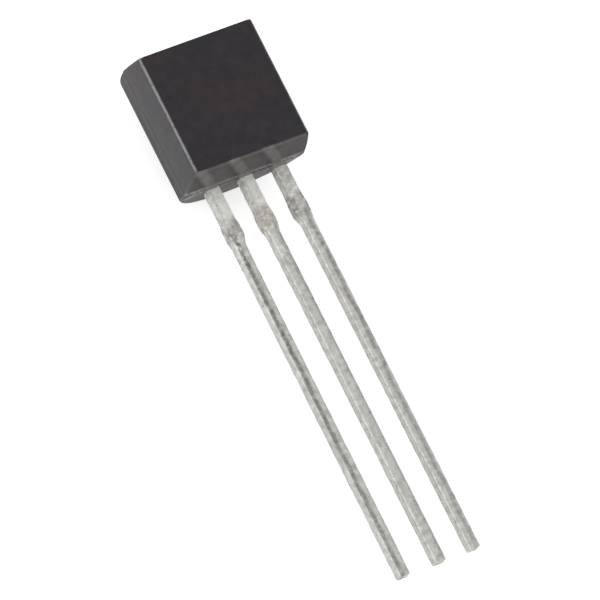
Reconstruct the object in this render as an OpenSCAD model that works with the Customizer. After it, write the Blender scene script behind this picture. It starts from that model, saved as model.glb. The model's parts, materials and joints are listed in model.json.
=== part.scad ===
// Three-lead hall effect sensor in a D-shaped moulded package.
//
// Every piece is drawn in the package's own frame: X runs across the leads, the leads point along -Y
// from the body's lower end at y = 0, and +Z faces out of the flat, with z = 0 in the middle of the
// leads' thickness. lie() then lays the finished part down as it comes to rest: on the lower rim of
// its round back and on the tips of its leads, with the flat facing up.

/* [Body] */
// Width across the sides, at the parting line
body_width = 4.44; // [4.4:0.02:4.9]
// Length along the leads, at the parting line
body_length = 4.58; // [4.1:0.02:4.8]
// Depth from the flat to the round back
body_depth = 3.45; // [3.2:0.05:3.7]
// Distance that each side leans in from the parting line to the flat, where their edge would be sharp
side_lean = 0.14; // [0.06:0.01:0.3]
// Distance from the flat to the middle of the leads
flat_to_leads = 1.37; // [1.2:0.01:1.5]
// Draft of the front half's lower end face
lower_front_draft = 10.5; // [2:0.5:12]
// Draft of the rear half's lower end face
lower_rear_draft = 7.5; // [2:0.5:12]
// Draft of the front half's upper end face
upper_front_draft = 6.5; // [2:0.5:12]
// Draft of the rear half's upper end face
upper_rear_draft = 2; // [1:0.5:12]
// Distance that the front mould half sits higher than the rear one, which leaves a ledge at both ends
mould_shift = 0.02; // [0.02:0.005:0.1]
// Step at the sides of the parting line, where the front half is the narrower one
mould_step = 0.01; // [0.005:0.005:0.04]
// Width of the bevel along the edges of the flat and of the back
edge_bevel = 0.07; // [0.03:0.01:0.12]

/* [Mould marks] */
// Diameter of the ejector pin's mark in the round back
ejector_diameter = 1.5; // [1:0.1:2]
// Depth of the ejector pin's mark at its shallowest
ejector_depth = 0.06; // [0.02:0.01:0.15]
// Width of the broken-off gate at the upper end
gate_width = 0.9; // [0.5:0.1:1.4]
// Thickness of the broken-off gate
gate_thickness = 0.24; // [0.15:0.01:0.4]
// Height of the gate's stub above the upper end
gate_height = 0.05; // [0.02:0.01:0.08]

/* [Leads] */
// Distance between the leads' centre lines
lead_pitch = 1.27; // [1.2:0.01:1.4]
// Length of the leads below the body
lead_length = 13.9; // [8:0.1:18]
// Width of a lead along its long thin stretch, with its tin
lead_width = 0.41; // [0.3:0.01:0.44]
// Thickness of the strip that the leads are stamped from
strip_thickness = 0.38; // [0.25:0.01:0.45]
// Thickness of the tin on each face
tin_thickness = 0.01; // [0.005:0.005:0.02]
// Width of the neck between the body and the dam bar, with its tin
neck_width = 0.46; // [0.44:0.01:0.55]
// Length of the neck
neck_length = 1.2; // [0.6:0.05:1.5]
// Width at the sheared ends of the dam bar
dam_width = 0.54; // [0.5:0.01:0.65]
// Length of the dam bar's stubs along the lead
dam_length = 0.6; // [0.3:0.02:0.8]
// Length of the taper from the dam bar to the thin stretch
taper_length = 0.3; // [0.2:0.05:0.6]
// Distance that the outer leads' necks are set in towards the middle
neck_inset = 0.035; // [0:0.005:0.06]
// Radius of the tinned edges of the thin stretch
lead_edge_radius = 0.07; // [0.04:0.01:0.12]
// Radius of the tinned edges of the neck
neck_edge_radius = 0.03; // [0.025:0.005:0.04]
// Outward lean of the supply lead, in degrees
supply_lean = 0.3; // [0:0.02:1]

/* [Lead frame inside the body] */
// Width of the die pad
pad_width = 1.5; // [1.3:0.05:1.6]
// Length of the die pad
pad_length = 2; // [1.8:0.05:2.2]
// Distance of the pad's middle above the middle of the body
pad_rise = 0.15; // [0:0.05:0.3]
// Gap between the pad and each bond post
post_gap = 0.25; // [0.2:0.05:0.35]
// Width of a bond post
post_width = 0.72; // [0.55:0.01:0.8]
// Height of the posts' lower edge above the body's lower end
post_start = 0.95; // [0.85:0.05:1.2]
// Length of a bond post
post_length = 1.3; // [1:0.05:1.6]
// Radius of the notches that lock the leads in the moulding
notch_radius = 0.08; // [0.05:0.01:0.1]
// Height of the notches above the body's lower end
notch_height = 0.5; // [0.35:0.05:0.65]

/* [Chip] */
// Side of the square chip
die_side = 1.1; // [0.8:0.05:1.2]
// Thickness of the chip
die_thickness = 0.28; // [0.2:0.01:0.35]
// Thickness of the adhesive under the chip
attach_thickness = 0.025; // [0.02:0.005:0.04]
// Distance that the adhesive shows round the chip
attach_margin = 0.04; // [0.02:0.01:0.07]

/* [Bond wires] */
// Diameter of the wires
wire_diameter = 0.03; // [0.02:0.005:0.04]
// Diameter of the squashed ball on the chip
ball_diameter = 0.09; // [0.07:0.01:0.12]
// Diameter of the foot where the wire is stitched to the metal
stitch_diameter = 0.08; // [0.06:0.01:0.12]
// Distance from the chip's edge to the balls
ball_margin = 0.13; // [0.1:0.01:0.2]
// Height of the loops above the chip
loop_height = 0.16; // [0.12:0.01:0.3]
// Distance from the pad's lower edge to the ground wire's stitch
ground_stitch_margin = 0.18; // [0.1:0.01:0.2]

/* [Hidden] */

$fn = 96;
overlap = 1;          // how far a cutting shape runs past what it cuts
corner_steps = 4;     // flat facets along each rounded edge of a lead
wire_sides = 8;
wire_rings = 14;

// The mould halves meet level with the strip's upper face, so that the leads come out of the rear one.
strip_top = strip_thickness / 2;
parting_z = strip_top;
back_z = flat_to_leads - body_depth;
front_rise = flat_to_leads - parting_z;
rear_drop = parting_z - back_z;

// The front half's sides are arcs that leave the parting line square to it. The rear half's arc runs from
// side to side through the back, and where that half is deeper than half its width, straight stretches
// join a half circle to the parting line.
rear_half_width = body_width / 2;
front_half_width = rear_half_width - mould_step;
flat_width = 2 * (front_half_width - side_lean);
side_radius = (pow(side_lean, 2) + pow(front_rise, 2)) / (2 * side_lean);
rear_radius = rear_drop > rear_half_width
    ? rear_half_width
    : (pow(rear_half_width, 2) + pow(rear_drop, 2)) / (2 * rear_drop);
rear_axis_z = back_z + rear_radius;
// Half the turn from the flat to a side, which is the slope of the bevel between them
bevel_slope = acos(front_rise / side_radius) / 2;

// The profiles of the mould halves, seen from the side: [y, z] points
front_low = mould_shift + front_rise * tan(lower_front_draft);
front_high = body_length + mould_shift - front_rise * tan(upper_front_draft);
rear_low = rear_drop * tan(lower_rear_draft);
rear_high = body_length - rear_drop * tan(upper_rear_draft);
front_profile = [
    [mould_shift, parting_z],
    [front_low - edge_bevel * tan(lower_front_draft), flat_to_leads - edge_bevel],
    [front_low + edge_bevel, flat_to_leads],
    [front_high - edge_bevel, flat_to_leads],
    [front_high + edge_bevel * tan(upper_front_draft), flat_to_leads - edge_bevel],
    [body_length + mould_shift, parting_z]
];
rear_profile = [
    [0, parting_z],
    [body_length, parting_z],
    [rear_high + edge_bevel * tan(upper_rear_draft), back_z + edge_bevel],
    [rear_high - edge_bevel, back_z],
    [rear_low + edge_bevel, back_z],
    [rear_low - edge_bevel * tan(lower_rear_draft), back_z + edge_bevel]
];

// The lead frame
tinned_thickness = strip_thickness + 2 * tin_thickness;
pad_y = body_length / 2 + pad_rise;
post_inner_x = pad_width / 2 + post_gap;
neck_x = lead_pitch - neck_inset;

// The chip's stack on the pad
attach_top = strip_top + attach_thickness;
die_top = attach_top + die_thickness;
ball_reach = die_side / 2 - ball_margin;

// The bond wires: where each ball and each stitch sits, as [x, y]
supply_ball = [-ball_reach, pad_y - ball_reach / 2];
supply_stitch = [-post_inner_x - post_width / 2, post_start + post_length * 0.7];
ground_ball = [0, pad_y - ball_reach];
ground_stitch = [0, pad_y - pad_length / 2 + ground_stitch_margin];
output_ball = [ball_reach, pad_y - ball_reach / 2];
output_stitch = [post_inner_x + post_width / 2, post_start + post_length * 0.7];

// How it lies, as [y, z] points: the heel is the back's lower rim, and the toe the lower edge of the tips.
heel = rear_profile[4];
toe = [-lead_length, -tinned_thickness / 2];
toe_top = [-lead_length, tinned_thickness / 2];
gate_end = [body_length + gate_height, parting_z - gate_thickness];
rest_tilt = atan((toe[1] - heel[1]) / (heel[0] - toe[0]));
outer_points = concat(front_profile, rear_profile, [toe, toe_top, gate_end]);
rest_y = [for (p = outer_points) p[0] * cos(rest_tilt) - p[1] * sin(rest_tilt)];
rest_z = [for (p = outer_points) p[0] * sin(rest_tilt) + p[1] * cos(rest_tilt)];

// Puts the part on the ground, with the middle of its length at the origin.
module lie() {
    translate([0, -(min(rest_y) + max(rest_y)) / 2, -min(rest_z)])
        rotate([rest_tilt, 0, 0])
            children();
}

// Skins a closed tube over rings of points. Every ring has as many points, and goes round the way a
// right-hand screw turns as it advances along the tube.
module skin(rings) {
    n = len(rings[0]);
    last = len(rings) - 1;
    sides = [
        for (i = [0 : last - 1], j = [0 : n - 1])
            [i * n + j, (i + 1) * n + j, (i + 1) * n + (j + 1) % n, i * n + (j + 1) % n]
    ];
    start_cap = [for (j = [0 : n - 1]) j];
    end_cap = [for (j = [n - 1 : -1 : 0]) last * n + j];
    polyhedron(points = [for (ring = rings) each ring], faces = concat(sides, [start_cap, end_cap]));
}

// ---- Body ----

// Draws a [x, z] outline along the body, past both of its ends.
module along_body() {
    translate([0, body_length + overlap, 0])
        rotate([90, 0, 0])
            linear_extrude(body_length + 2 * overlap)
                children();
}

// Draws a [y, z] profile across the body, past both of its sides.
module across_body() {
    rotate([90, 0, 90])
        linear_extrude(body_width + 2 * overlap, center = true)
            children();
}

module front_half() {
    flat_x = flat_width / 2 - edge_bevel;
    limit = body_width;
    intersection() {
        along_body()
            intersection() {
                translate([front_half_width - side_radius, parting_z])
                    circle(side_radius);
                translate([side_radius - front_half_width, parting_z])
                    circle(side_radius);
                polygon([
                    [-limit, parting_z], [limit, parting_z],
                    [limit, flat_to_leads - (limit - flat_x) * tan(bevel_slope)],
                    [flat_x, flat_to_leads], [-flat_x, flat_to_leads],
                    [-limit, flat_to_leads - (limit - flat_x) * tan(bevel_slope)]
                ]);
            }
        across_body()
            polygon(front_profile);
    }
}

module rear_half() {
    intersection() {
        along_body() {
            translate([0, rear_axis_z])
                circle(rear_radius);
            if (rear_axis_z < parting_z)
                translate([-rear_half_width, rear_axis_z])
                    square([body_width, parting_z - rear_axis_z]);
        }
        across_body()
            polygon(rear_profile);
    }
}

// The round mark that the ejector pin leaves in the middle of the back
module ejector_mark() {
    rim_drop = rear_radius - sqrt(pow(rear_radius, 2) - pow(ejector_diameter / 2, 2));
    translate([0, body_length / 2, back_z - overlap])
        cylinder(d = ejector_diameter, h = overlap + rim_drop + ejector_depth);
}

// The stub where the gate was broken off, at the upper end on the parting line
module gate_stub() {
    translate([-gate_width / 2, rear_high, parting_z - gate_thickness])
        cube([gate_width, body_length + gate_height - rear_high, gate_thickness]);
}

module moulding() {
    difference() {
        union() {
            front_half();
            rear_half();
            gate_stub();
        }
        ejector_mark();
    }
}

module body() {
    color("#3c383c")
        lie()
            difference() {
                moulding();
                middle_stamping();
                outer_stamping(-1);
                outer_stamping(1);
                chip();
                adhesive();
                bond_wire(supply_ball, supply_stitch);
                bond_wire(ground_ball, ground_stitch);
                bond_wire(output_ball, output_stitch);
            }
}

// ---- Leads ----

// Gives a stamped outline the strip's thickness.
module stamp() {
    linear_extrude(strip_thickness, center = true)
        children();
}

// The bare neck that leaves the body, with a pair of notches that lock it in the moulding
module neck_outline(x, top) {
    bare_width = neck_width - 2 * tin_thickness;
    difference() {
        translate([x - bare_width / 2, 0])
            square([bare_width, top]);
        for (side = [-1, 1])
            translate([x + side * bare_width / 2, notch_height])
                circle(notch_radius);
    }
}

// The middle lead inside the body: its neck carries the die pad.
module middle_stamping() {
    stamp() {
        neck_outline(0, pad_y);
        translate([-pad_width / 2, pad_y - pad_length / 2])
            square([pad_width, pad_length]);
    }
}

// An outer lead inside the body: its neck ends in a bond post. side is -1 for the left one, 1 for the right.
module outer_stamping(side) {
    stamp()
        mirror([side < 0 ? 1 : 0, 0]) {
            neck_outline(neck_x, post_start + post_length / 2);
            translate([post_inner_x, post_start])
                square([post_width, post_length]);
        }
}

// One ring of a tinned lead at [x, y], turned in its plane by lean: a rectangle with rounded corners
function lead_ring(x, y, width, radius, lean = 0) = [
    for (corner = [0 : 3], step = [0 : corner_steps])
        let (
            angle = 90 * (corner + step / corner_steps),
            sx = (corner == 0 || corner == 3) ? 1 : -1,
            sz = corner < 2 ? 1 : -1,
            across = sx * (width / 2 - radius) + radius * cos(angle)
        )
        [
            x + across * cos(lean),
            y + across * sin(lean),
            sz * (tinned_thickness / 2 - radius) + radius * sin(angle)
        ]
];

// The tinned stretch of a lead below the body. neck is the middle of its neck, straight that of its thin stretch.
module tinned_lead(neck, straight, lean = 0) {
    dam_start = neck_length;
    dam_end = dam_start + dam_length;
    thin_start = dam_end + taper_length;
    shoulder = (dam_width - neck_width) / 2;
    drift = (lead_length - thin_start) * tan(lean);
    skin([
        lead_ring(neck, 0, neck_width, neck_edge_radius),
        lead_ring(neck, -dam_start, neck_width, neck_edge_radius),
        lead_ring(neck, -dam_start - shoulder, dam_width, neck_edge_radius),
        lead_ring(neck, -dam_end, dam_width, neck_edge_radius),
        lead_ring(straight, -thin_start, lead_width, lead_edge_radius, lean),
        lead_ring(straight + drift, -lead_length, lead_width, lead_edge_radius)
    ]);
}

module lead_supply() {
    color("#bdbab4")
        lie() {
            outer_stamping(-1);
            tinned_lead(-neck_x, -lead_pitch, -supply_lean);
        }
}

module lead_ground() {
    color("#bdbab4")
        lie() {
            middle_stamping();
            tinned_lead(0, 0);
        }
}

module lead_output() {
    color("#bdbab4")
        lie() {
            outer_stamping(1);
            tinned_lead(neck_x, lead_pitch);
        }
}

// ---- Chip ----

module chip() {
    translate([-die_side / 2, pad_y - die_side / 2, attach_top])
        cube([die_side, die_side, die_thickness]);
}

module adhesive() {
    side = die_side + 2 * attach_margin;
    translate([-side / 2, pad_y - side / 2, strip_top])
        cube([side, side, attach_thickness]);
}

module sensor_die() {
    color("#5b6470")
        lie()
            chip();
}

module die_attach() {
    color("#c9c9c4")
        lie()
            adhesive();
}

// ---- Bond wires ----

// A point of a cubic curve through a row of four control points
function curve_point(p, t) =
    pow(1 - t, 3) * p[0] + 3 * t * pow(1 - t, 2) * p[1] + 3 * t * t * (1 - t) * p[2] + pow(t, 3) * p[3];

// The direction of that curve
function curve_slope(p, t) =
    3 * pow(1 - t, 2) * (p[1] - p[0]) + 6 * t * (1 - t) * (p[2] - p[1]) + 3 * t * t * (p[3] - p[2]);

// A gold wire from a ball on the chip to a stitch on the metal of the lead frame
module bond_wire(ball, stitch) {
    wire_radius = wire_diameter / 2;
    reach = norm(stitch - ball);
    heading = (stitch - ball) / reach;
    // Control points of the loop, as [distance along the heading, height]
    loop = [
        [0, die_top + wire_radius],
        [0, die_top + loop_height * 1.4],
        [reach * 0.45, die_top + loop_height * 1.2],
        [reach, strip_top + wire_radius]
    ];
    skin([
        for (i = [0 : wire_rings])
            let (
                t = i / wire_rings,
                middle = curve_point(loop, t),
                slope = curve_slope(loop, t),
                dir = slope / norm(slope)
            )
            [
                for (j = [0 : wire_sides - 1])
                    let (
                        angle = 360 * j / wire_sides,
                        sideways = wire_radius * cos(angle),
                        along = middle[0] - wire_radius * sin(angle) * dir[1]
                    )
                    [
                        ball[0] + along * heading[0] - sideways * heading[1],
                        ball[1] + along * heading[1] + sideways * heading[0],
                        middle[1] + wire_radius * sin(angle) * dir[0]
                    ]
            ]
    ]);
    translate([ball[0], ball[1], die_top])
        cylinder(d = ball_diameter, h = wire_diameter);
    translate([stitch[0], stitch[1], strip_top])
        cylinder(d = stitch_diameter, h = wire_diameter);
}

module bond_wire_supply() {
    color("#d8b24a")
        lie()
            bond_wire(supply_ball, supply_stitch);
}

module bond_wire_ground() {
    color("#d8b24a")
        lie()
            bond_wire(ground_ball, ground_stitch);
}

module bond_wire_output() {
    color("#d8b24a")
        lie()
            bond_wire(output_ball, output_stitch);
}

body();
lead_supply();
lead_ground();
lead_output();
sensor_die();
die_attach();
bond_wire_supply();
bond_wire_ground();
bond_wire_output();
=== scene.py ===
import json
import math

import bmesh
import bpy
from bpy.props import FloatProperty, FloatVectorProperty, PointerProperty
from bpy.types import Operator, Panel, PropertyGroup
from mathutils import Matrix, Vector

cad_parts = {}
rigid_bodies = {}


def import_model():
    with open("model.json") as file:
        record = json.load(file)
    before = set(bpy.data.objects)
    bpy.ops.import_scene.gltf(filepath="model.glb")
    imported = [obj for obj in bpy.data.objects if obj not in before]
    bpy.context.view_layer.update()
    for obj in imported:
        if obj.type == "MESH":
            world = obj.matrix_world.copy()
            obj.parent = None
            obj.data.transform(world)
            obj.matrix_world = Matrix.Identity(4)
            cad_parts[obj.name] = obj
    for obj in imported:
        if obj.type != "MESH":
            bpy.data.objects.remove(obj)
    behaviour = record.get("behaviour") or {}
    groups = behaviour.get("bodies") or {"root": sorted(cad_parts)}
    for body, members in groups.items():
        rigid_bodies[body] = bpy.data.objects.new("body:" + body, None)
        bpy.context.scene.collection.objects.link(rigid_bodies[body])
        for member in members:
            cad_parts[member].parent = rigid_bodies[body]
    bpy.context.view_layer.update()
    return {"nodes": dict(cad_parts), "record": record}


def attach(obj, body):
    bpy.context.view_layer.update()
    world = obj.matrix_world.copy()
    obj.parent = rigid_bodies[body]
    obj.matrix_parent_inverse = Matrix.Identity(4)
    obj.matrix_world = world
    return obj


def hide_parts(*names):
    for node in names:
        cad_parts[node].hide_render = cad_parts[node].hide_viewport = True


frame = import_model()

bl_info = {
    "name": "Hall Effect Sensor",
    "version": (1, 0, 0),
    "blender": (4, 5, 0),
    "location": "3D View > Sidebar > Hall Sensor",
    "description": "Builds a three-lead hall effect sensor in a D-shaped moulded package",
    "category": "Object",
}

MM = 0.001
TINY = 0.0005 * MM
# How far an outline is drawn past each end of the body, before the ends are cut
SPARE = MM
# Where the tinned stretch starts inside the body, and where the bare stamping that it overlaps ends
OUTER_START = 0.1 * MM
INNER_END = 0.09 * MM
# How much longer than its size a lead is drawn, before its tip is cut
SPARE_TIP = 0.1 * MM
RIPPLE_SIZE = 0.3 * MM
DROSS_SIZE = 0.11 * MM
# The floor's own white in the camera's and the mirrored rays
FLOOR_GLOW = 0.57
LAMP_SIDE = 0.7
LAMP_PLACE = (-0.45, -0.05, 0.35)


def linear(hex_colour):
    """An sRGB hex colour as the linear values that shaders take."""
    parts = [int(hex_colour[i : i + 2], 16) / 255 for i in (1, 3, 5)]
    return [p / 12.92 if p <= 0.04045 else ((p + 0.055) / 1.055) ** 2.4 for p in parts]


def a_length(name, description, mm):
    """A length that a user can set, with its default in millimetres."""
    return FloatProperty(name=name, description=description, default=mm * MM, unit="LENGTH", precision=6)


def an_angle(name, description, degrees):
    """An angle that a user can set, with its default in degrees."""
    return FloatProperty(
        name=name, description=description, default=math.radians(degrees), subtype="ANGLE")


def a_colour(name, description, hex_colour):
    """A colour that a user can set, with its default in sRGB hex."""
    return FloatVectorProperty(
        name=name, description=description, default=linear(hex_colour), subtype="COLOR", min=0, max=1)


# ---------------------------------------------------------------- sizes and colours


class PackageSizes(PropertyGroup):
    body_width: a_length("Body width", "Across the sides, at the parting line", 4.44)
    body_length: a_length("Body length", "Along the leads, at the parting line", 4.58)
    body_depth: a_length("Body depth", "From the flat to the round back", 3.45)
    flat_width: a_length("Flat width", "Where the flat's side edges would be sharp", 4.14)
    flat_height: a_length("Flat to leads", "From the flat to the middle of the leads", 1.37)
    parting_height: a_length(
        "Parting line", "Above the middle of the leads, level with the strip's upper face", 0.19)
    lower_front_draft: an_angle("Lower front draft", "Slope of the front half's lower end face", 10.5)
    lower_rear_draft: an_angle("Lower rear draft", "Slope of the rear half's lower end face", 7.5)
    upper_front_draft: an_angle("Upper front draft", "Slope of the front half's upper end face", 6.5)
    upper_rear_draft: an_angle("Upper rear draft", "Slope of the rear half's upper end face", 2)
    mould_shift: a_length("Mould shift", "How far the front half sits above the rear one", 0.02)
    mould_step: a_length("Mould step", "How much narrower the front half is, on each side", 0.003)
    flat_bevel: a_length("Flat's bevel", "Rounding of the front half's edges", 0.07)
    back_bevel: a_length("Back's bevel", "Rounding of the rear half's rims", 0.1)
    parting_bevel: a_length(
        "Parting bevel", "Rounding of the rear half's ends at the parting line", 0.006)
    ejector_diameter: a_length("Ejector mark", "Diameter of the ejector pin's mark in the back", 1.5)
    ejector_depth: a_length("Ejector depth", "Depth of that mark at its shallowest", 0.06)
    gate_width: a_length("Gate width", "Width of the broken-off gate at the upper end", 0.9)
    gate_thickness: a_length("Gate thickness", "Thickness of the broken-off gate", 0.24)
    gate_height: a_length("Gate height", "Height of its stub above the upper end", 0.05)


class LeadSizes(PropertyGroup):
    pitch: a_length("Pitch", "Between the leads' centre lines", 1.27)
    length: a_length("Length", "Below the body's lower end", 13.9)
    width: a_length("Width", "Across the long thin stretch, with its tin", 0.41)
    thickness: a_length("Thickness", "Through the strip and its tin", 0.4)
    neck_width: a_length("Neck width", "Between the body and the dam bar", 0.46)
    neck_length: a_length("Neck length", "From the body to the dam bar", 1.2)
    dam_width: a_length("Dam width", "Across the sheared ends of the dam bar", 0.54)
    dam_length: a_length("Dam length", "Of the dam bar's stubs, along the lead", 0.6)
    shoulder_length: a_length(
        "Shoulder length", "Over which the neck widens into the dam bar's stubs", 0.25)
    taper_length: a_length("Taper length", "From the dam bar to the thin stretch", 0.3)
    neck_inset: a_length("Neck inset", "How far the outer necks are set in towards the middle", 0.035)
    edge_radius: a_length("Edge radius", "Of the thin stretch's tinned edges", 0.07)
    neck_edge_radius: a_length("Neck edge radius", "Of the neck's tinned edges", 0.03)
    supply_lean: an_angle("Supply lead's lean", "Outwards, along the thin stretch", 0.3)
    ripple_height: a_length("Tin ripples", "Height of the slow waves in the tin", 0.02)
    dross_height: a_length("Tin dross", "Height of the small lumps in the tin", 0.008)


class ChipSizes(PropertyGroup):
    side: a_length("Side", "Of the square chip", 1.1)
    middle: a_length("Middle", "Of the chip, above the body's lower end", 2.44)


class FinishColours(PropertyGroup):
    epoxy: a_colour("Epoxy", "Black moulding compound", "#1e1a20")
    warm_epoxy: a_colour("Warm epoxy", "Where the compound looks reddish", "#2a1c1f")
    # Paler than the epoxy: a painted reflection of the floor on the lower end face, also laid on its
    # corners
    pale_reflection_epoxy: a_colour("Matte epoxy", "The lower end face and its corners", "#413d3d")
    # Pale edges round the flat: partly rubbing and partly a painted highlight
    burnish_and_highlight: a_colour("Burnished epoxy", "Edges that the mould and handling rubbed pale", "#8a8788")
    # A dimmer painted highlight along the lower end's edge, and, darker, a painted reflection on the rear
    # end face behind it
    dim_painted_light: a_colour(
        "Scuffed epoxy", "The lower end's rubbed edge and, darker, the end face behind it", "#5a5656")
    # Also the painted reflections of the leads on the lower end face
    chalk_and_reflection: a_colour("Chalk", "Broken-off flash, pale stains and the resin at the leads' roots", "#878482")
    tin: a_colour("Tin", "Clean hot-dipped tin", "#c4c4bf")
    # Also the painted highlight on the necks
    bright_tin_and_highlight: a_colour("Bright tin", "Beads of thick tin", "#e0e0da")
    dull_tin: a_colour("Dull tin", "Tin that has oxidised", "#a7a5a0")
    # Also the painted dark reflection down each lead, and part of the dark on the dam bar's sheared ends,
    # which is painted shade
    dark_tin_and_painted_light: a_colour("Dark tin", "Streaks, pits and the dam bar's sheared ends", "#6b6969")
    copper: a_colour("Copper alloy", "The strip, where the tin is thin or sheared", "#ad9f98")
    strip: a_colour("Bare strip", "Copper alloy strip inside the body", "#c08a6c")
    silicon: a_colour("Silicon", "The chip", "#5d6672")
    adhesive: a_colour("Adhesive", "Silver-filled adhesive under the chip", "#c7c6c2")
    gold: a_colour("Gold", "The bond wires", "#f0c46a")
    floor: a_colour("Floor", "Studio floor", "#efefef")


class StageSettings(PropertyGroup):
    azimuth: an_angle("Azimuth", "Of the camera, about the leads' direction", -25.896)
    elevation: an_angle("Elevation", "Of the camera, towards the lead tips", 12.933)
    roll: an_angle("Roll", "Of the camera about its own axis", -26.834)
    distance: a_length("Distance", "From the camera to its target", 291.59)
    lens: FloatProperty(
        name="Lens", description="Focal length on a 36 mm sensor",
        default=556.5, subtype="DISTANCE_CAMERA")
    target: FloatVectorProperty(
        name="Target", description="The camera's target, in the package's own frame",
        default=(-0.1947 * MM, -4.3885 * MM, 0), subtype="TRANSLATION", precision=6)
    sky: FloatProperty(
        name="Sky", description="Strength of the even light from all round",
        default=0.62)
    softbox: FloatProperty(
        name="Softbox", description="Power of the large lamp on the left, in watts",
        default=1.6)


# ---------------------------------------------------------------- the package's own frame

# Sizes are given in the package's own frame: X across the leads, -Y along them from the body's lower end,
# +Z out of the flat, with the origin in the middle of the middle lead where it leaves the body.
FLAT_MOUNT = next(m for m in frame["record"]["mounts"] if m["name"] == "flat_face")


def resting():
    """The turn and shift that lay the package on the ground."""
    sizes = bpy.context.scene.package_sizes
    axis = Vector(FLAT_MOUNT["axis"])
    tilt = math.atan2(-axis.y, axis.z)
    flat_middle = Vector((0, sizes.body_length / 2 + sizes.mould_shift, sizes.flat_height))
    turn = Matrix.Rotation(tilt, 4, "X")
    return Matrix.Translation(Vector(FLAT_MOUNT["pos_m"])) @ turn @ Matrix.Translation(-flat_middle)


# ---------------------------------------------------------------- modelling by hand


def pick(*pieces):
    """Leaves only these pieces selected, with the first one active."""
    if bpy.context.object and bpy.context.object.mode != "OBJECT":
        bpy.ops.object.mode_set(mode="OBJECT")
    bpy.ops.object.select_all(action="DESELECT")
    for piece in pieces:
        piece.select_set(True)
    bpy.context.view_layer.objects.active = pieces[0]


def edit(piece):
    pick(piece)
    bpy.ops.object.mode_set(mode="EDIT")


def done():
    bpy.ops.object.mode_set(mode="OBJECT")


def select(piece, kind, test):
    """In edit mode, selects the faces or edges that pass the test, and nothing else."""
    bpy.ops.mesh.select_mode(type=kind)
    bpy.ops.mesh.select_all(action="DESELECT")
    mesh = bmesh.from_edit_mesh(piece.data)
    chosen = [part for part in (mesh.faces if kind == "FACE" else mesh.edges) if test(part)]
    if not chosen:
        raise RuntimeError(f"nothing to select on {piece.name}")
    for part in chosen:
        part.select_set(True)
    bmesh.update_edit_mesh(piece.data)


def middle(part):
    """The middle of a face or an edge."""
    return sum((corner.co for corner in part.verts), Vector()) / len(part.verts)


def turn_faces_out():
    """In edit mode, turns all faces of a closed piece outwards."""
    bpy.ops.mesh.select_all(action="SELECT")
    bpy.ops.mesh.normals_make_consistent(inside=False)


def cut(point, normal):
    """In edit mode, cuts away what lies beyond a plane, on its normal's side, and closes the cut."""
    bpy.ops.mesh.select_all(action="SELECT")
    bpy.ops.mesh.bisect(plane_co=point, plane_no=normal, use_fill=True, clear_outer=True, threshold=1e-9)
    turn_faces_out()


def combine(piece, other, operation):
    """Unites piece with other, or cuts other out of it, and removes other."""
    pick(piece)
    bpy.ops.object.modifier_add(type="BOOLEAN")
    boolean = piece.modifiers[-1]
    boolean.operation = operation
    boolean.object = other
    boolean.solver = "EXACT"
    bpy.ops.object.modifier_apply(modifier=boolean.name)
    pick(other)
    bpy.ops.object.delete()


def lay_down(piece):
    """Puts a piece that was made in the package's frame where the package lies."""
    piece.matrix_world = resting()
    pick(piece)
    bpy.ops.object.transform_apply(location=True, rotation=True, scale=True)


def coat(piece, material):
    """Gives a piece one material, in place of any that it has."""
    piece.data.materials.clear()
    piece.data.materials.append(material)


def hand_over(piece, name, node):
    """Names a finished piece and lets it stand for its CAD node."""
    piece.name = name
    piece.data.name = name
    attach(piece, "root")
    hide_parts(node)


# ---------------------------------------------------------------- materials


def add_node(tree, kind, sockets=None, **settings):
    """Adds a shader node. A socket's value is either a number, a colour or another node's output."""
    node = tree.nodes.new(kind)
    for name, value in settings.items():
        setattr(node, name, value)
    for name, value in (sockets or {}).items():
        if isinstance(value, bpy.types.NodeSocket):
            tree.links.new(value, node.inputs[name])
        else:
            node.inputs[name].default_value = value
    return node


def rgba(colour, factor=1):
    """A colour for a socket, made darker or paler by a factor."""
    return (*(factor * part for part in colour), 1)


def maths(tree, operation, *values):
    """The result of one operation on one, two or three values."""
    return add_node(tree, "ShaderNodeMath", dict(enumerate(values)), operation=operation).outputs[0]


def ranged(tree, value, to_low, to_high, low=0, high=1, **settings):
    """A value between low and high, stretched to another range and held within it."""
    return add_node(tree, "ShaderNodeMapRange", {
        "Value": value, "From Min": low, "From Max": high, "To Min": to_low, "To Max": to_high,
    }, **settings).outputs[0]


def relief(tree, height, strength, distance):
    """A normal that lets a surface look rough."""
    return add_node(tree, "ShaderNodeBump", {
        "Height": height, "Strength": strength, "Distance": distance}).outputs["Normal"]


def new_material(name):
    """An empty node material, with its tree and the package's own coordinates in metres."""
    material = bpy.data.materials.new(name)
    material.use_nodes = True
    tree = material.node_tree
    tree.nodes.clear()
    back = resting().inverted()
    place = add_node(tree, "ShaderNodeTexCoord")
    own = add_node(tree, "ShaderNodeMapping", {
        "Vector": place.outputs["Object"], "Location": back.translation, "Rotation": back.to_euler()})
    return material, tree, own.outputs["Vector"]


def axes(tree, own):
    """The X, Y and Z of the package's own coordinates."""
    return tuple(add_node(tree, "ShaderNodeSeparateXYZ", {"Vector": own}).outputs)


def finish_material(material, sockets):
    """Closes a material with one principled shader."""
    tree = material.node_tree
    shader = add_node(tree, "ShaderNodeBsdfPrincipled", sockets)
    add_node(tree, "ShaderNodeOutputMaterial", {"Surface": shader.outputs[0]})
    return material


def joined(tree, first, *others):
    """A mask that is 1 only where all of these are."""
    for mask in others:
        first = maths(tree, "MULTIPLY", first, mask)
    return first


def band(tree, value, low, high, soft):
    """A mask that is 1 between two heights and fades out over a soft width beyond them."""
    rising = ranged(tree, value, 0, 1, low - soft, low)
    falling = ranged(tree, value, 1, 0, high, high + soft)
    return joined(tree, rising, falling)


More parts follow.
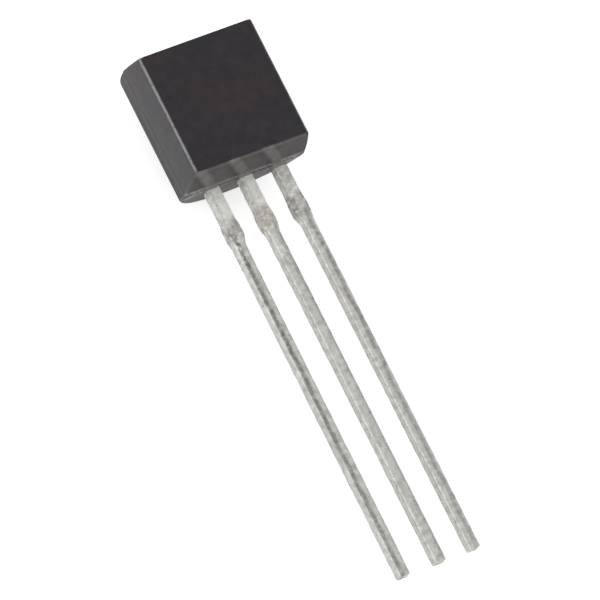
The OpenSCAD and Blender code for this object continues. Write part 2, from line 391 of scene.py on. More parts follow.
def mottled(tree, own, size, low, high, detail=3):
    """A noise of one grain size, stretched so that low and high become 0 and 1."""
    noise = add_node(tree, "ShaderNodeTexNoise", {
        "Vector": own, "Scale": 1 / size, "Detail": detail, "Roughness": 0.6})
    return ranged(tree, noise.outputs["Fac"], 0, 1, low, high)


def blend(tree, mask, under, over):
    """Lays one colour over another where the mask is 1."""
    return add_node(tree, "ShaderNodeMix", {0: mask, 6: under, 7: over}, data_type="RGBA").outputs[2]


def slanted(tree, first, factor, second, offset):
    """first + factor * second + offset, which straightens a drafted face."""
    return maths(tree, "ADD", first, maths(tree, "MULTIPLY_ADD", second, factor, offset))


def moulded_epoxy():
    """Black epoxy moulding compound, transfer moulded against a fine spark-eroded steel cavity.

    It gives a satin black with a fine grain, slow clouds of gloss where the compound flowed, pale edges
    round the flat that are partly rubbing and partly a painted highlight, faint scuffs near them, lower
    end faces with a paler base as a painted reflection of the floor, painted reflections of the leads
    above each lead, and chalky specks where flash broke off along the lower parting edge.
    """
    colours = bpy.context.scene.finish_colours
    sizes = bpy.context.scene.package_sizes
    leads = bpy.context.scene.lead_sizes
    material, tree, own = new_material("moulded_epoxy")
    across, along, up = axes(tree, own)
    aside = maths(tree, "ABSOLUTE", across)
    rise = sizes.flat_height - sizes.parting_height
    end_slope = math.tan(sizes.lower_front_draft)
    side_slope = (sizes.body_width - sizes.flat_width) / 2 / rise
    # Depth behind the lower end face and reach towards a side, level on the drafted faces
    depth = slanted(tree, along, -end_slope, up, end_slope * sizes.parting_height - sizes.mould_shift)
    reach = slanted(tree, aside, side_slope, up,
                    -side_slope * sizes.parting_height - sizes.body_width / 2)
    clouds = mottled(tree, own, 0.45 * MM, 0.3, 0.7)
    tone = blend(tree, clouds, rgba(colours.epoxy, 0.8), rgba(colours.epoxy, 1.25))
    tone = blend(tree, mottled(tree, own, 1.6 * MM, 0.5, 0.75), tone, rgba(colours.warm_epoxy))
    # Faint scuffs on the flat, thicker towards its edges
    on_flat = band(tree, up, sizes.flat_height - 0.02 * MM, MM, 0.01 * MM)
    streaky = add_node(tree, "ShaderNodeMapping", {
        "Vector": own, "Rotation": (0, 0, 0.5), "Scale": (2.5, 1, 1)}).outputs["Vector"]
    scuffs = mottled(tree, streaky, 0.5 * MM, 0.42, 0.75, 5)
    tone = blend(tree, joined(tree, on_flat, scuffs), tone, rgba(colours.epoxy, 2.6))
    # The lower end face, left matte by the cavity, with a paler base that is a painted reflection of the
    # floor
    low_face = band(tree, depth, -MM, 0.03 * MM, 0.03 * MM)
    tone = blend(tree, low_face, tone, rgba(colours.pale_reflection_epoxy))
    # The rear half's lower end face: a dim painted reflection of the floor, in a paler tone than the
    # epoxy
    rear_slope = math.tan(sizes.lower_rear_draft)
    rear_depth = slanted(tree, along, rear_slope, up, -rear_slope * sizes.parting_height)
    behind = joined(tree, band(tree, up, -5 * MM, sizes.parting_height - 0.01 * MM, 0.01 * MM),
                    band(tree, rear_depth, -MM, 0.03 * MM, 0.06 * MM))
    tone = blend(tree, behind, tone, rgba(colours.dim_painted_light, 0.65))
    # Pale edges round the flat, partly rubbing and partly a painted highlight, palest along the sides
    edges = band(tree, up, sizes.flat_height - 0.9 * sizes.flat_bevel,
                 sizes.flat_height - 0.15 * sizes.flat_bevel, 0.01 * MM)
    # The rubbed mask carries the painted highlight on the bevels
    rubbed = joined(tree, edges, mottled(tree, own, 0.12 * MM, 0.2, 0.5))
    at_sides = band(tree, reach, -0.12 * MM, MM, 0.02 * MM)
    worn_and_painted = blend(tree, joined(tree, rubbed, at_sides), tone, rgba(colours.burnish_and_highlight))
    # Along the lower end the painted highlight is dimmer
    at_low_end = band(tree, depth, -MM, 0.12 * MM, 0.02 * MM)
    worn_and_painted = blend(tree, joined(tree, rubbed, at_low_end), worn_and_painted, rgba(colours.dim_painted_light))
    # The corners between the sides and the lower end, painted in the lower end face's paler tone over the
    # edges' painted highlight
    corner = joined(tree, band(tree, depth, -MM, 0.045 * MM, 0.03 * MM),
                    band(tree, reach, -0.05 * MM, MM, 0.03 * MM))
    worn_and_painted = blend(tree, corner, worn_and_painted, rgba(colours.pale_reflection_epoxy))
    # Painted reflections of the leads on the lower end face: pale bands above the leads, which lean as
    # they rise
    reflection_lean = 0.576
    lead_pitch = leads.pitch - leads.neck_inset
    lifted = slanted(tree, across, reflection_lean, up, -reflection_lean * sizes.parting_height)
    from_lead = maths(tree, "PINGPONG", lifted, lead_pitch / 2)
    lead_reflection = joined(tree, band(tree, from_lead, -MM, 0.12 * MM, 0.16 * MM),
                   band(tree, lifted, -1.6 * MM, 1.6 * MM, 0.05 * MM),
                   band(tree, depth, -MM, 0.04 * MM, 0.03 * MM), mottled(tree, own, 0.3 * MM, 0, 0.9))
    worn_and_painted = blend(tree, lead_reflection, worn_and_painted, rgba(colours.chalk_and_reflection))
    # Chalky remains of flash, along the parting edge of the lower end and in specks on the face behind it
    low_end = band(tree, along, -MM, 0.07 * MM, 0.03 * MM)
    level = band(tree, up, sizes.parting_height - 0.01 * MM,
                 sizes.parting_height + 0.08 * MM, 0.05 * MM)
    flash = joined(tree, level, low_end, mottled(tree, own, 0.12 * MM, 0.2, 0.55))
    chalky_with_painted_light = blend(tree, flash, worn_and_painted, rgba(colours.chalk_and_reflection))
    # Fewer specks further down the back
    thinning = ranged(tree, up, 0.3, 1, -1.2 * MM, sizes.parting_height)
    speckled = joined(tree, behind, thinning)
    specks = joined(tree, speckled, mottled(tree, own, 0.1 * MM, 0.5, 0.68))
    chalky_with_painted_light = blend(tree, specks, chalky_with_painted_light, rgba(colours.chalk_and_reflection))
    crumbs = joined(tree, band(tree, aside, 1.4 * MM, 2 * MM, 0.1 * MM),
                    band(tree, up, -0.5 * MM, sizes.parting_height + 0.05 * MM, 0.1 * MM),
                    low_end, mottled(tree, own, 0.16 * MM, 0.4, 0.55))
    chalky_with_painted_light = blend(tree, crumbs, chalky_with_painted_light, rgba(colours.chalk_and_reflection, 1.5))
    pits = joined(tree, speckled, mottled(tree, streaky, 0.14 * MM, 0.5, 0.65))
    chalky_with_painted_light = blend(tree, pits, chalky_with_painted_light, rgba(colours.epoxy))
    rough = maths(tree, "ADD", ranged(tree, clouds, 0.26, 0.36), ranged(tree, low_face, 0, 0.22))
    # Gloss by slant: strongest on the sides, and dull where the surface turns away
    facing = add_node(tree, "ShaderNodeLayerWeight", {"Blend": 0.5})
    sheen = add_node(tree, "ShaderNodeValToRGB", {"Fac": facing.outputs["Facing"]})
    sheen.color_ramp.elements.remove(sheen.color_ramp.elements[0])
    for slant, strength in ((0.15, 0.33), (0.38, 0.7), (0.6, 0.33), (0.7, 0.08), (0.8, 0.02)):
        sheen.color_ramp.elements.new(slant).color = (strength, strength, strength, 1)
    sheen.color_ramp.elements[-1].color = (0, 0, 0, 1)
    patchy = ranged(tree, mottled(tree, own, 0.3 * MM, 0.2, 0.8, 4), 0.8, 1.2)
    # The flat's far edges were never rubbed, and stay dark
    far_side = band(tree, across, sizes.flat_width / 2 - 0.12 * MM, 5 * MM, 0.02 * MM)
    far_end = band(tree, along, sizes.body_length - 0.25 * MM, 9 * MM, 0.02 * MM)
    far = maths(tree, "MAXIMUM", far_side, far_end)
    unrubbed = ranged(tree, joined(tree, edges, far), 1, 0.1)
    grain = add_node(tree, "ShaderNodeTexNoise", {
        "Vector": own, "Scale": 1 / (0.05 * MM), "Detail": 2, "Roughness": 0.6})
    return finish_material(material, {
        "Base Color": chalky_with_painted_light, "Roughness": rough, "IOR": 1.5,
        "Specular IOR Level": joined(tree, sheen.outputs["Color"], patchy, unrubbed),
        "Normal": relief(tree, grain.outputs["Fac"], 0.5, 0.004 * MM)})


def dipped_tin(name, lead_x, lean, reflection_at, reflection_width, reflection_depth, ragged_dam, dam_tone,
               resin_reach, neck_highlight):
    """Tin over copper alloy strip, hot dipped.

    It gives a matte white metal with slow ripples, dull blotches, bright spots, small dark pits and a
    painted highlight on the neck. Below the dam bar one dark band runs down the lead, a painted
    reflection, the sheared ends of the dam bar are dark and ragged, partly bare metal and partly painted
    shade, and a thin bleed of pale resin covers the root.
    """
    colours = bpy.context.scene.finish_colours
    sizes = bpy.context.scene.lead_sizes
    material, tree, own = new_material(name)
    side, along, _ = axes(tree, own)
    # How far each point is from the painted dark reflection, which sways and follows the lead's lean
    leaning = maths(tree, "MULTIPLY_ADD", along, math.tan(lean), -lead_x - reflection_at)
    across = maths(tree, "ADD", side, leaning)
    wander = add_node(tree, "ShaderNodeTexNoise", {"Vector": own, "Scale": 1 / (0.9 * MM), "Detail": 2})
    sway = ranged(tree, wander.outputs["Fac"], -0.04 * MM, 0.04 * MM, 0.25, 0.75)
    apart = maths(tree, "ABSOLUTE", maths(tree, "ADD", across, sway))
    dark_reflection = ranged(tree, apart, 1, 0, 0.2 * reflection_width, reflection_width, interpolation_type="SMOOTHSTEP")
    dam_end = -sizes.neck_length - sizes.dam_length
    below_dam = band(tree, along, -2 * sizes.length, dam_end, 0.2 * MM)
    broken = ranged(tree, mottled(tree, own, 0.2 * MM, 0.3, 0.6), 0.4 * reflection_depth, reflection_depth)
    fading = ranged(tree, along, 0.66, 1, -sizes.length, -0.15 * sizes.length)
    dark_reflection_below_dam = joined(tree, dark_reflection, below_dam, broken, fading)
    # The dam bar's stubs, dull in patches and ragged along their sheared ends, whose dark is partly bare
    # metal and partly painted shade
    dam = band(tree, along, dam_end, -sizes.neck_length, 0.15 * MM)
    dam_patches = joined(tree, dam, mottled(tree, own, 0.35 * MM, 0.35, 0.7))
    from_middle = maths(tree, "ADD", side, -lead_x)
    beside = maths(tree, "ABSOLUTE", from_middle)
    rough_patches = ranged(tree, mottled(tree, own, 0.2 * MM, 0.35, 0.6), 0, ragged_dam)
    sheared = joined(tree, dam, band(tree, beside, 0.17 * MM, MM, 0.08 * MM), rough_patches)
    blotches = mottled(tree, own, 0.22 * MM, 0.4, 0.7)
    base = blend(tree, blotches, rgba(colours.tin), rgba(colours.dull_tin))
    # A painted highlight on the neck, as strong as each lead asks
    neck = joined(tree, band(tree, along, -0.9 * sizes.neck_length, MM, 0.3 * MM),
                  band(tree, from_middle, -0.05 * MM, MM, 0.15 * MM))
    base = blend(tree, ranged(tree, neck, 0, neck_highlight), base, rgba(colours.bright_tin_and_highlight))
    base = blend(tree, dam_patches, base, rgba(dam_tone))
    base = blend(tree, dark_reflection_below_dam, base, rgba(colours.dark_tin_and_painted_light))
    base = blend(tree, sheared, base, rgba(colours.dark_tin_and_painted_light))
    base = blend(tree, mottled(tree, own, 0.09 * MM, 0.63, 0.78, 2), base, rgba(colours.dark_tin_and_painted_light))
    # Bright spots, most of them towards the body
    moved = add_node(tree, "ShaderNodeMapping", {"Vector": own, "Location": (5 * MM, 0, 0)}).outputs[0]
    amount = ranged(tree, band(tree, along, -2.4 * MM, MM, MM), 0.2, 0.85)
    beads = joined(tree, amount, mottled(tree, moved, 0.15 * MM, 0.54, 0.74, 2))
    base = blend(tree, beads, base, rgba(colours.bright_tin_and_highlight))
    # The resin's ragged edge, and the bare strip inside the body
    ragged = ranged(tree, mottled(tree, own, 0.08 * MM, 0.2, 0.8), -0.03 * MM, 0.03 * MM)
    resin = band(tree, maths(tree, "ADD", along, ragged), -resin_reach, 20 * MM, 0.01 * MM)
    inside = band(tree, along, 0.07 * MM, 20 * MM, 0.01 * MM)
    base = blend(tree, resin, base, rgba(colours.chalk_and_reflection))
    metal = maths(tree, "SUBTRACT", maths(tree, "MULTIPLY_ADD", inside, resin, 1), resin)
    base = blend(tree, inside, base, rgba(colours.strip))
    return finish_material(material, {
        "Base Color": base, "Metallic": metal, "Roughness": 0.55,
        "Normal": relief(tree, mottled(tree, own, 0.16 * MM, 0, 1), 0.6, 0.02 * MM)})


def patterned_silicon():
    """A finished silicon chip: sawn sides, and on top the circuit under its clear passivation.

    It gives a glossy blue-grey with the paler seal ring round the edge, fine rows of metal tracks, and
    the plain square of the sensing plate in the middle.
    """
    colours = bpy.context.scene.finish_colours
    sizes = bpy.context.scene.chip_sizes
    material, tree, own = new_material("patterned_silicon")
    across, along, _ = axes(tree, own)
    aside = maths(tree, "ABSOLUTE", across)
    beyond = maths(tree, "ABSOLUTE", maths(tree, "ADD", along, -sizes.middle))
    square = maths(tree, "MAXIMUM", aside, beyond)
    tracks = add_node(tree, "ShaderNodeTexBrick", {
        "Vector": own, "Scale": 1 / (0.05 * MM), "Color1": rgba(colours.silicon),
        "Color2": rgba(colours.silicon, 0.6), "Mortar": rgba(colours.silicon, 1.7),
        "Mortar Size": 0.05, "Brick Width": 1.6, "Row Height": 0.5})
    base = blend(tree, mottled(tree, own, 0.2 * MM, 0.3, 0.7), tracks.outputs["Color"],
                 rgba(colours.silicon, 0.8))
    plate = band(tree, square, -MM, 0.15 * sizes.side, 0.004 * MM)
    base = blend(tree, plate, base, rgba(colours.silicon, 0.5))
    ring = band(tree, square, 0.44 * sizes.side, 0.46 * sizes.side, 0.003 * MM)
    base = blend(tree, ring, base, rgba(colours.silicon, 2.2))
    return finish_material(material, {
        "Base Color": base, "Roughness": 0.18, "IOR": 2.0, "Coat Weight": 0.5, "Coat Roughness": 0.08})


def silver_adhesive():
    """Silver-filled epoxy, cured: pale grey flakes in a duller binder, with a soft relief."""
    colours = bpy.context.scene.finish_colours
    material, tree, own = new_material("silver_adhesive")
    flakes = add_node(tree, "ShaderNodeTexVoronoi", {"Vector": own, "Scale": 1 / (0.02 * MM)})
    shade = add_node(tree, "ShaderNodeSeparateColor", {"Color": flakes.outputs["Color"]})
    base = blend(tree, shade.outputs[0], rgba(colours.adhesive, 0.6), rgba(colours.adhesive))
    gloss = ranged(tree, shade.outputs[1], 0.35, 0.6)
    return finish_material(material, {
        "Base Color": base, "Metallic": 0.7, "Roughness": gloss,
        "Normal": relief(tree, shade.outputs[0], 0.4, 0.003 * MM)})


def drawn_gold():
    """Fine gold wire, drawn and thermosonically bonded: warm and smooth, with a slight haze in places."""
    colours = bpy.context.scene.finish_colours
    material, tree, own = new_material("drawn_gold")
    haze = mottled(tree, own, 0.03 * MM, 0.3, 0.7)
    base = blend(tree, haze, rgba(colours.gold), rgba(colours.gold, 0.82))
    gloss = ranged(tree, haze, 0.18, 0.34)
    return finish_material(material, {"Base Color": base, "Metallic": 1, "Roughness": gloss})


# ---------------------------------------------------------------- the body


def start_outline(name, x, z):
    """Starts a mould half's outline with one vertex on the parting line, behind the lower end."""
    bpy.ops.object.select_all(action="DESELECT")
    bpy.ops.mesh.primitive_plane_add(size=MM, location=(0, 0, 0))
    piece = bpy.context.object
    piece.name = name
    edit(piece)
    bpy.ops.mesh.select_mode(type="VERT")
    bpy.ops.mesh.select_all(action="SELECT")
    bpy.ops.mesh.merge(type="CENTER")
    bpy.ops.transform.translate(value=(x, -SPARE, z))
    return piece


def swing(angle, steps, axis_x, axis_z):
    """Draws an arc of the outline on from its last vertex."""
    bpy.ops.mesh.spin(steps=steps, angle=angle, center=(axis_x, -SPARE, axis_z), axis=(0, 1, 0))


def draw_out(length):
    """Fills an outline and draws it out along the leads' direction, past both ends of the body."""
    bpy.ops.mesh.select_all(action="SELECT")
    bpy.ops.mesh.edge_face_add()
    bpy.ops.mesh.extrude_region_move(TRANSFORM_OT_translate={"value": (0, length + 2 * SPARE, 0)})
    turn_faces_out()


def is_rim(edge, parting):
    """An edge between an end face and a side, away from the parting plane."""
    ends = [abs(face.normal.y) > 0.9 for face in edge.link_faces]
    away = max(abs(corner.co.z - parting) for corner in edge.verts)
    return any(ends) and not all(ends) and away > TINY


def is_parting(edge, parting):
    """An edge of the parting face."""
    return max(abs(corner.co.z - parting) for corner in edge.verts) < TINY


def slope(draft, low, front):
    """The outward normal of an end face: the lower or the upper one, of the front or the rear half."""
    return Vector((0, -math.cos(draft) if low else math.cos(draft),
                   math.sin(draft) if front else -math.sin(draft)))


def front_half(sizes):
    """The half with the flat, on which every edge away from the parting plane is rounded."""
    parting = sizes.parting_height
    height = sizes.flat_height
    reach = sizes.body_width / 2 - sizes.mould_step
    rise = height - parting
    lean = reach - sizes.flat_width / 2
    radius = (lean**2 + rise**2) / (2 * lean)
    arc = math.asin(rise / radius)
    piece = start_outline("front_half", reach, parting)
    swing(arc, 8, reach - radius, parting)
    bpy.ops.mesh.extrude_region_move(TRANSFORM_OT_translate={"value": (-sizes.flat_width, 0, 0)})
    swing(arc, 8, radius - reach, parting)
    draw_out(sizes.body_length)
    cut((0, sizes.mould_shift, parting), slope(sizes.lower_front_draft, True, True))
    cut((0, sizes.body_length + sizes.mould_step, parting), slope(sizes.upper_front_draft, False, True))
    select(piece, "EDGE", lambda edge: is_rim(edge, parting)
           or min(corner.co.z for corner in edge.verts) > height - TINY)
    bpy.ops.mesh.bevel(offset=sizes.flat_bevel, segments=4, affect="EDGES")
    done()
    return piece


def back_arc(sizes):
    """The rear half's radius, and the height of its axis."""
    reach = sizes.body_width / 2
    back_z = sizes.flat_height - sizes.body_depth
    drop = sizes.parting_height - back_z
    radius = (reach**2 + drop**2) / (2 * drop)
    return radius, back_z + radius


def rear_half(sizes):
    """The half with the round back, on which the rims are rounded."""
    parting = sizes.parting_height
    radius, axis_z = back_arc(sizes)
    piece = start_outline("rear_half", -sizes.body_width / 2, parting)
    swing(math.pi - 2 * math.asin((axis_z - parting) / radius), 72, 0, axis_z)
    draw_out(sizes.body_length)
    cut((0, 0, parting), slope(sizes.lower_rear_draft, True, False))
    cut((0, sizes.body_length, parting), slope(sizes.upper_rear_draft, False, False))
    select(piece, "EDGE", lambda edge: is_rim(edge, parting))
    bpy.ops.mesh.bevel(offset=sizes.back_bevel, segments=4, affect="EDGES")
    select(piece, "EDGE", lambda edge: is_parting(edge, parting)
           and abs(edge.verts[0].co.y - edge.verts[1].co.y) < TINY)
    bpy.ops.mesh.bevel(offset=sizes.parting_bevel, segments=2, affect="EDGES")
    done()
    return piece


def ejector_pin(sizes):
    """The pin's end that leaves its mark in the back, a little wider towards the outside."""
    back_z = sizes.flat_height - sizes.body_depth
    radius, _ = back_arc(sizes)
    mark = sizes.ejector_diameter / 2
    rim_drop = radius - math.sqrt(radius**2 - mark**2)
    depth = rim_drop + sizes.ejector_depth
    bpy.ops.object.select_all(action="DESELECT")
    bpy.ops.mesh.primitive_cone_add(
        vertices=96, radius1=mark + 0.25 * depth, radius2=mark, depth=2 * depth,
        location=(0, sizes.body_length / 2, back_z))
    bpy.ops.object.transform_apply(location=True, rotation=True, scale=True)
    return bpy.context.object


def gate_stub(sizes):
    """What is left of the gate, with a rough broken end."""
    depth = 0.4 * MM
    bpy.ops.object.select_all(action="DESELECT")
    bpy.ops.mesh.primitive_cube_add(
        size=1, scale=(sizes.gate_width, depth, sizes.gate_thickness),
        location=(0, sizes.body_length + sizes.gate_height - depth / 2,
                  sizes.parting_height - sizes.gate_thickness / 2))
    piece = bpy.context.object
    bpy.ops.object.transform_apply(location=True, rotation=True, scale=True)
    edit(piece)
    end = sizes.body_length + sizes.gate_height - TINY
    select(piece, "FACE", lambda face: middle(face).y > end)
    bpy.ops.mesh.inset(thickness=0.03 * MM, depth=-0.012 * MM)
    bpy.ops.mesh.subdivide(number_cuts=7, fractal=0.12, fractal_along_normal=1, seed=4)
    done()
    return piece


class SENSOR_OT_body(Operator):
    """Mould the D-shaped body from two halves, with the ejector pin's and the gate's marks"""

    bl_idname = "sensor.body"
    bl_label = "Moulded Body"
    bl_options = {"REGISTER", "UNDO"}

    def execute(self, context):
        sizes = context.scene.package_sizes
        piece = rear_half(sizes)
        combine(piece, front_half(sizes), "UNION")
        combine(piece, gate_stub(sizes), "UNION")
        combine(piece, ejector_pin(sizes), "DIFFERENCE")
        pick(piece)
        bpy.ops.object.shade_smooth_by_angle(angle=math.radians(35))
        bpy.ops.object.modifier_add(type="WEIGHTED_NORMAL")
        weighted = piece.modifiers[-1]
        weighted.keep_sharp = True
        weighted.weight = 100
        bpy.ops.object.modifier_apply(modifier=weighted.name)
        lay_down(piece)
        coat(piece, moulded_epoxy())
        hand_over(piece, "moulded_body", "body")
        return {"FINISHED"}


# ---------------------------------------------------------------- the leads


def section(name, x, y, width, radius, sizes):
    """A lead's cross-section across Y, with its corners rounded and its flats divided for the ripples."""
    bpy.ops.object.select_all(action="DESELECT")
    bpy.ops.mesh.primitive_plane_add(size=1, location=(x, y, 0), rotation=(math.pi / 2, 0, 0))
    piece = bpy.context.object
    piece.name = name
    piece.scale = (width, sizes.thickness, 1)
    bpy.ops.object.transform_apply(location=True, rotation=True, scale=True)
    edit(piece)
    bpy.ops.mesh.select_mode(type="VERT")
    bpy.ops.mesh.select_all(action="SELECT")
    bpy.ops.mesh.bevel(offset=radius, segments=4, affect="VERTICES")
    longest = max(width, sizes.thickness) - 2 * radius
    select(piece, "EDGE", lambda edge: edge.calc_length() > 0.5 * longest)
    bpy.ops.mesh.subdivide(number_cuts=3)
    bpy.ops.mesh.select_mode(type="FACE")
    bpy.ops.mesh.select_all(action="SELECT")
    return piece


def extrude(distance, shift=0, widen=1, at=None):
    """Extrudes the selected end of a lead down its length, and widens it about its own middle."""
    bpy.ops.mesh.extrude_region_move(TRANSFORM_OT_translate={"value": (shift, -distance, 0)})
    if widen != 1:
        bpy.ops.transform.resize(value=(widen, 1, 1), center_override=at)


def outer_lead(name, neck_x, straight_x, lean, sizes):
    """The tinned stretch: neck, dam bar stubs and the long thin part, left a little over its length."""
    over_length = sizes.length + SPARE_TIP
    shoulder = sizes.shoulder_length
    thin_start = sizes.neck_length + sizes.dam_length + sizes.taper_length
    piece = section(name, neck_x, OUTER_START, sizes.neck_width, sizes.neck_edge_radius, sizes)
    extrude(OUTER_START + sizes.neck_length)
    extrude(shoulder, widen=sizes.dam_width / sizes.neck_width,
            at=(neck_x, -sizes.neck_length - shoulder, 0))
    extrude(sizes.dam_length - shoulder)
    done()
    thin = section(name + "_thin", straight_x, -thin_start, sizes.width, sizes.edge_radius, sizes)
    straight = over_length - thin_start
    extrude(straight, shift=-straight * math.tan(lean))
    done()
    pick(piece, thin)
    bpy.ops.object.join()
    edit(piece)
    dam_end = -sizes.neck_length - sizes.dam_length
    select(piece, "FACE", lambda face: len(face.verts) > 4 and (
        abs(middle(face).y - dam_end) < TINY or abs(middle(face).y + thin_start) < TINY))
    bpy.ops.mesh.bridge_edge_loops()
    step = 0.05 * MM
    for low, high in ((-sizes.neck_length, OUTER_START), (dam_end, -sizes.neck_length - shoulder),
                      (-thin_start, dam_end), (-over_length, -thin_start)):
        select(piece, "EDGE", lambda edge: low - TINY < middle(edge).y < high + TINY
               and abs(edge.verts[0].co.y - edge.verts[1].co.y) > 0.8 * (high - low))
        bpy.ops.mesh.subdivide(number_cuts=max(1, round((high - low) / step)))
    turn_faces_out()
    done()
    return piece


def ripple(piece, name, size, height):
    """Raises waves of one size in the tin."""
    texture = bpy.data.textures.new(name, "CLOUDS")
    texture.noise_scale = size
    texture.noise_depth = 1
    pick(piece)
    bpy.ops.object.modifier_add(type="DISPLACE")
    waves = piece.modifiers[-1]
    waves.texture = texture
    waves.texture_coords = "LOCAL"
    waves.strength = height
    waves.mid_level = 0.7
    bpy.ops.object.modifier_apply(modifier=waves.name)


def shear_tip(piece, sizes):
    """Cuts a lead to its length, rounds the cut's rim and leaves the torn middle a little hollow."""
    rim = 0.03 * MM
    edit(piece)
    cut((0, rim - sizes.length, 0), (0, -1, 0))
    select(piece, "FACE", lambda face: len(face.verts) > 8 and face.normal.y < -0.9)
    bpy.ops.mesh.inset(thickness=0.5 * rim, depth=0.7 * rim)
    bpy.ops.mesh.inset(thickness=0.6 * rim, depth=0.3 * rim)
    bpy.ops.mesh.inset(thickness=0.3 * rim, depth=-0.3 * rim)
    done()


def inner_lead(node):
    """The bare stamping inside the body, copied from the CAD node above the body's lower end."""
    pick(frame["nodes"][node])
    bpy.ops.object.duplicate()
    piece = bpy.context.object
    bpy.ops.object.parent_clear(type="CLEAR_KEEP_TRANSFORM")
    for key in list(piece.keys()):
        del piece[key]
    piece.data.materials.clear()
    edit(piece)
    bpy.ops.mesh.select_all(action="SELECT")
    bpy.ops.mesh.remove_doubles(threshold=0.0001 * MM)
    turn = resting()
    down = (turn.to_3x3() @ Vector((0, -1, 0))).normalized()
    cut(turn @ Vector((0, INNER_END, 0)), down)
    done()
    return piece


class SENSOR_OT_leads(Operator):
    """Stamp the three leads and dip them in tin"""

    bl_idname = "sensor.leads"
    bl_label = "Tinned Leads"
    bl_options = {"REGISTER", "UNDO"}

    def execute(self, context):
        sizes = context.scene.lead_sizes
        neck = sizes.pitch - sizes.neck_inset
        colours = context.scene.finish_colours
        # Each dip sets the painted dark reflection down its lead and the painted highlight on its neck
        dips = (
            ("lead_supply", -1, -sizes.supply_lean, {
                "reflection_at": -0.07 * MM, "reflection_width": 0.125 * MM, "reflection_depth": 1, "ragged_dam": 0.5,
                "dam_tone": colours.dull_tin, "resin_reach": 0.05 * MM, "neck_highlight": 0.6}),
            ("lead_ground", 0, 0, {
                "reflection_at": 0.13 * MM, "reflection_width": 0.1 * MM, "reflection_depth": 0.4, "ragged_dam": 0.15,
                "dam_tone": colours.copper, "resin_reach": 0.04 * MM, "neck_highlight": 0.65}),
            ("lead_output", 1, 0, {
                "reflection_at": 0.05 * MM, "reflection_width": 0.11 * MM, "reflection_depth": 0.7, "ragged_dam": 0.7,
                "dam_tone": colours.dull_tin, "resin_reach": 0.12 * MM, "neck_highlight": 0}),
        )
        for name, side, lean, dip in dips:
            neck_x, straight_x = side * neck, side * sizes.pitch
            piece = outer_lead(name + "_outer", neck_x, straight_x, -lean, sizes)
            ripple(piece, name + "_ripple", RIPPLE_SIZE, sizes.ripple_height)
            ripple(piece, name + "_dross", DROSS_SIZE, sizes.dross_height)
            shear_tip(piece, sizes)
            pick(piece)
            bpy.ops.object.shade_smooth_by_angle(angle=math.radians(50))
            lay_down(piece)
            combine(piece, inner_lead(name), "UNION")
            coat(piece, dipped_tin(name + "_tin", straight_x, lean, **dip))
            hand_over(piece, "tinned_" + name, name)
        return {"FINISHED"}


# ---------------------------------------------------------------- the chip and its wires


class SENSOR_OT_chip(Operator):
    """Finish the chip, its adhesive and the bond wires inside the body"""

    bl_idname = "sensor.chip"
    bl_label = "Chip and Bond Wires"
    bl_options = {"REGISTER", "UNDO"}

    def execute(self, context):
        gold = drawn_gold()
        for node, finish in (
            ("sensor_die", patterned_silicon()), ("die_attach", silver_adhesive()),
            ("bond_wire_supply", gold), ("bond_wire_ground", gold), ("bond_wire_output", gold),
        ):
            coat(frame["nodes"][node], finish)
        return {"FINISHED"}


# ---------------------------------------------------------------- the stage


def seen_white(tree):
    """A mask for the camera's, the mirror and the see-through rays, which meet a plain white."""
    path = add_node(tree, "ShaderNodeLightPath")
    mirrored = maths(tree, "MAXIMUM", path.outputs["Is Camera Ray"], path.outputs["Is Glossy Ray"])
    return maths(tree, "MAXIMUM", mirrored, path.outputs["Is Transmission Ray"])


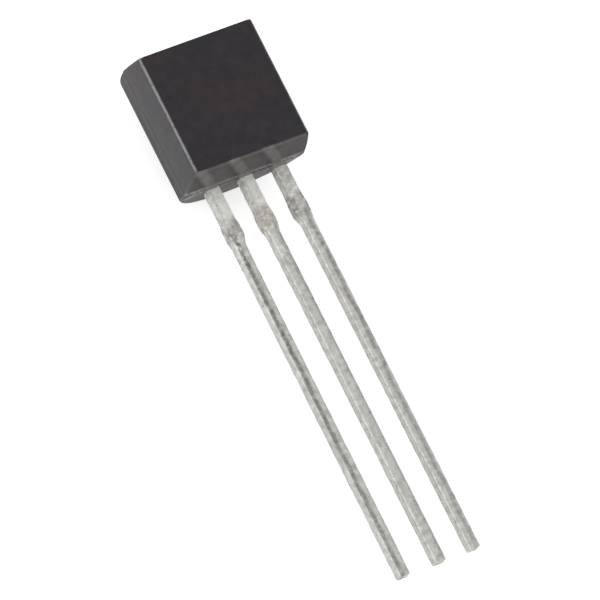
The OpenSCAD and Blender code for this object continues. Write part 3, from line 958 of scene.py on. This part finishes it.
class SENSOR_OT_stage(Operator):
    """Set the floor, the light and the camera"""

    bl_idname = "sensor.stage"
    bl_label = "Studio Stage"
    bl_options = {"REGISTER", "UNDO"}

    def execute(self, context):
        stage = context.scene.stage_settings
        self.lay_floor(context)
        self.light(context)
        camera_data = bpy.data.cameras.new("camera")
        camera = bpy.data.objects.new("camera", camera_data)
        context.scene.collection.objects.link(camera)
        context.scene.camera = camera
        camera_data.lens = stage.lens
        camera_data.sensor_width = 36
        camera_data.clip_start = 0.01
        camera_data.clip_end = 10
        sine_a, cosine_a = math.sin(stage.azimuth), math.cos(stage.azimuth)
        sine_e, cosine_e = math.sin(stage.elevation), math.cos(stage.elevation)
        back = Vector((sine_a * cosine_e, -sine_e, cosine_a * cosine_e))
        level = Vector((0, 1, 0)).cross(back).normalized()
        upright = back.cross(level)
        right = level * math.cos(stage.roll) + upright * math.sin(stage.roll)
        up = upright * math.cos(stage.roll) - level * math.sin(stage.roll)
        pose = Matrix((right, up, back)).transposed().to_4x4()
        pose.translation = Vector(stage.target) + back * stage.distance
        camera.matrix_world = resting() @ pose
        context.scene.view_settings.view_transform = "Standard"
        return {"FINISHED"}

    def lay_floor(self, context):
        colours = context.scene.finish_colours
        bpy.ops.object.select_all(action="DESELECT")
        bpy.ops.mesh.primitive_plane_add(size=3, location=(0, 0, 0))
        floor = bpy.context.object
        floor.name = "studio_floor"
        material = bpy.data.materials.new("matte_paper")
        material.use_nodes = True
        tree = material.node_tree
        tree.nodes.clear()
        paper = add_node(tree, "ShaderNodeBsdfDiffuse", {"Color": rgba(colours.floor)})
        strength = maths(tree, "MULTIPLY", seen_white(tree), FLOOR_GLOW)
        glow = add_node(tree, "ShaderNodeEmission", {"Color": (1, 1, 1, 1), "Strength": strength})
        total = add_node(tree, "ShaderNodeAddShader", {0: paper.outputs[0], 1: glow.outputs[0]})
        add_node(tree, "ShaderNodeOutputMaterial", {"Surface": total.outputs[0]})
        floor.data.materials.append(material)

    def light(self, context):
        stage = context.scene.stage_settings
        world = bpy.data.worlds.new("studio")
        context.scene.world = world
        world.use_nodes = True
        tree = world.node_tree
        tree.nodes.clear()
        strength = ranged(tree, seen_white(tree), stage.sky, 1)
        sky = add_node(tree, "ShaderNodeBackground", {"Color": (1, 1, 1, 1), "Strength": strength})
        add_node(tree, "ShaderNodeOutputWorld", {"Surface": sky.outputs[0]})
        lamp = bpy.data.lights.new("softbox", "AREA")
        lamp.shape = "RECTANGLE"
        lamp.size = LAMP_SIDE
        lamp.size_y = LAMP_SIDE
        lamp.energy = stage.softbox
        softbox = bpy.data.objects.new("softbox", lamp)
        context.scene.collection.objects.link(softbox)
        softbox.location = LAMP_PLACE
        softbox.rotation_euler = (-softbox.location).to_track_quat("-Z", "Y").to_euler()


# ---------------------------------------------------------------- add-on


class SENSOR_PT_panel(Panel):
    bl_label = "Hall Sensor"
    bl_idname = "SENSOR_PT_panel"
    bl_space_type = "VIEW_3D"
    bl_region_type = "UI"
    bl_category = "Hall Sensor"

    def draw(self, context):
        for operator in STEPS:
            self.layout.operator(operator.bl_idname)


STEPS = (SENSOR_OT_body, SENSOR_OT_leads, SENSOR_OT_chip, SENSOR_OT_stage)
GROUPS = {
    "package_sizes": PackageSizes,
    "lead_sizes": LeadSizes,
    "chip_sizes": ChipSizes,
    "finish_colours": FinishColours,
    "stage_settings": StageSettings,
}


def register():
    for name, group in GROUPS.items():
        bpy.utils.register_class(group)
        setattr(bpy.types.Scene, name, PointerProperty(type=group))
    for item in (*STEPS, SENSOR_PT_panel):
        bpy.utils.register_class(item)


def unregister():
    for item in (SENSOR_PT_panel, *STEPS):
        bpy.utils.unregister_class(item)
    for name, group in GROUPS.items():
        delattr(bpy.types.Scene, name)
        bpy.utils.unregister_class(group)


def main():
    register()
    bpy.ops.sensor.body()
    bpy.ops.sensor.leads()
    bpy.ops.sensor.chip()
    bpy.ops.sensor.stage()


if __name__ == "__main__":
    main()
